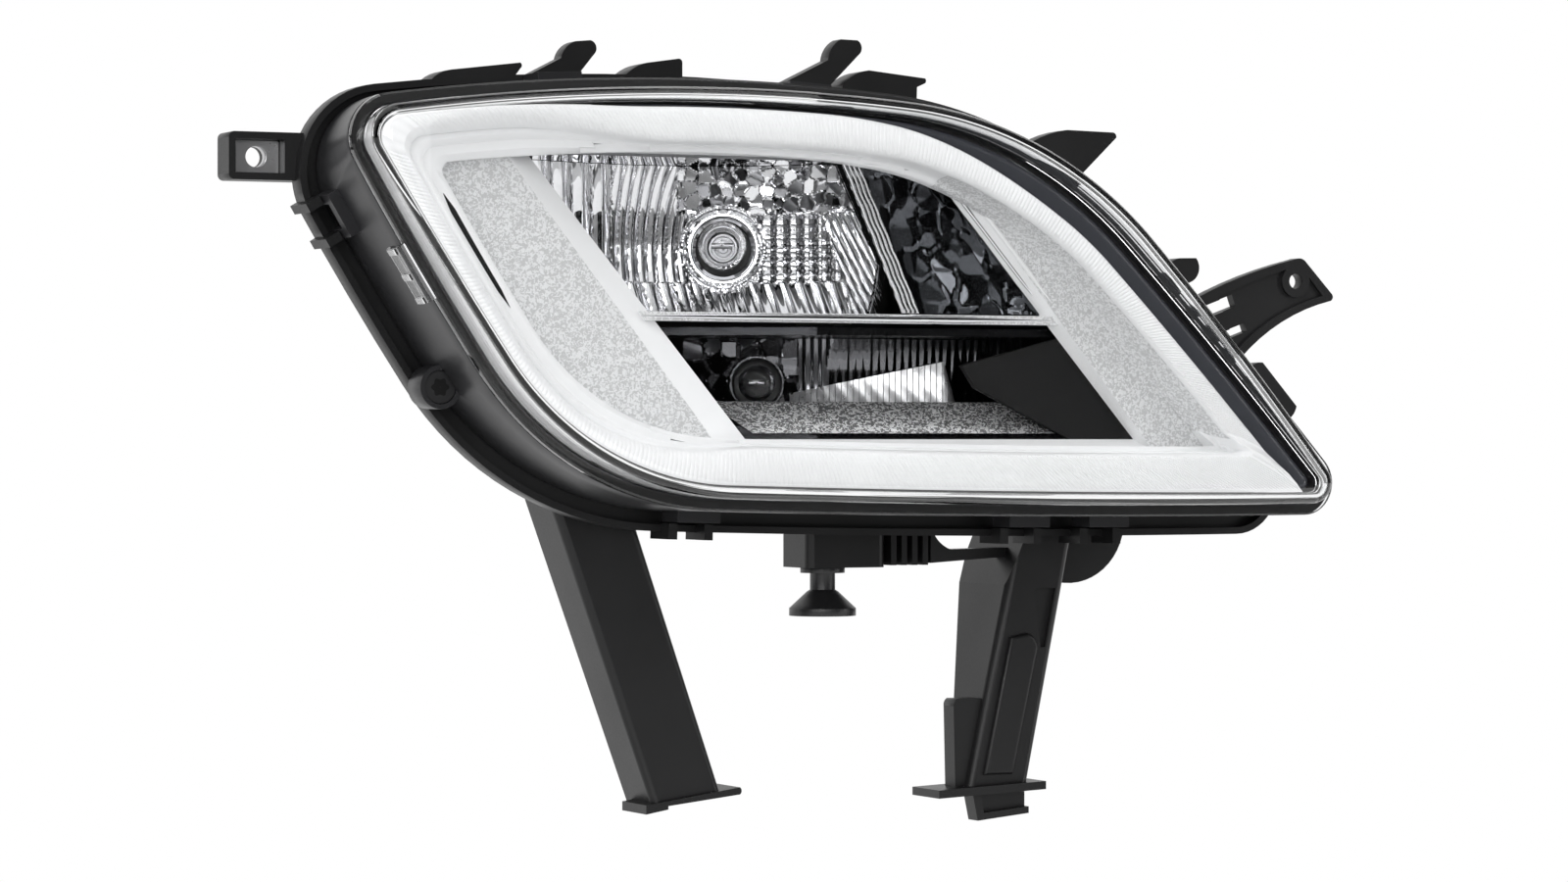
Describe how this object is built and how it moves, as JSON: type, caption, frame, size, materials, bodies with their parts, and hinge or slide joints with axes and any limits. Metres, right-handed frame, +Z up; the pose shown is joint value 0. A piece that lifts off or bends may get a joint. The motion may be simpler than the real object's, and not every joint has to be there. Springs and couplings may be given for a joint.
{
  "type": "auxiliary driving light",
  "caption": "Leaf-shaped car driving light: clear domed lens, serrated light trim, fog and signal reflectors, black housing with clips, screw bracket, legs and aim knob.",
  "frame": {"origin": "centre of the screw hole in the side bracket, on the bracket's front face", "axes": "+X along the lamp towards the bracket, +Z up, -Y towards the lit side"},
  "size_m": [0.3201, 0.1308, 0.2081],
  "materials": {
    "aim_clip": "spring steel",
    "aim_nut": "natural white",
    "aim_screw": "black",
    "aim_screw_seal": "matte",
    "blanking_plate": "matte black",
    "fog_bulb_base": "black",
    "fog_bulb_contacts": "tinned",
    "fog_bulb_filament": "tungsten",
    "fog_bulb_glass": "clear",
    "fog_bulb_seal": "red silicone",
    "fog_reflector": "aluminised",
    "frame_screw": "black oxide",
    "front_frame": "satin dark grey",
    "housing_seal": "matte",
    "lens": "clear polished",
    "lens_seal": "matte",
    "pivot_bushes": "natural white",
    "pivot_pins": "zinc plated",
    "rear_housing": "moulded black",
    "side_mask": "gloss black",
    "signal_bulb_base": "black",
    "signal_bulb_contacts": "tinned",
    "signal_bulb_filament": "tungsten",
    "signal_bulb_glass": "clear",
    "signal_bulb_seal": "red silicone",
    "signal_reflector": "aluminised, stippled floor",
    "tab_clip_nut": "zinc plated",
    "trim_bezel": "silver-white, serrated band",
    "vent_cap": "matte"
  },
  "bodies": {
    "housing": {"aim_screw_seal": "aim_screw_seal", "blanking_plate": "blanking_plate", "fog_bulb_base": "fog_bulb_base", "fog_bulb_contacts": "fog_bulb_contacts", "fog_bulb_filament": "fog_bulb_filament", "fog_bulb_glass": "fog_bulb_glass", "fog_bulb_seal": "fog_bulb_seal", "frame_screw": "frame_screw", "front_frame": "front_frame", "housing_seal": "housing_seal", "lens": "lens", "lens_seal": "lens_seal", "pivot_bushes": "pivot_bushes", "rear_housing": "rear_housing", "side_mask": "side_mask", "signal_bulb_base": "signal_bulb_base", "signal_bulb_contacts": "signal_bulb_contacts", "signal_bulb_filament": "signal_bulb_filament", "signal_bulb_glass": "signal_bulb_glass", "signal_bulb_seal": "signal_bulb_seal", "signal_reflector": "signal_reflector", "tab_clip_nut": "tab_clip_nut", "trim_bezel": "trim_bezel", "vent_cap": "vent_cap"},
    "aim_screw": {"aim_screw": "aim_screw", "aim_clip": "aim_clip"},
    "reflector": {"fog_reflector": "fog_reflector", "pivot_pins": "pivot_pins", "aim_nut": "aim_nut"}
  },
  "joints": [
    {"name": "aim_turn", "type": "hinge", "parent": "housing", "child": "aim_screw", "pos_m": [-0.1334, 0.024, -0.06], "axis": [0, 0, 1], "range_deg": [-300, 300]},
    {"name": "reflector_tilt", "type": "hinge", "parent": "housing", "child": "reflector", "pos_m": [-0.17057, 0.00752, 0.0067], "axis": [0.9063, -0.4226, 0], "range_deg": [-2.34, 2.34]}
  ],
  "couplings": [
    {"joint": "reflector_tilt", "follows": "aim_turn", "ratio": 0.007791}
  ]
}
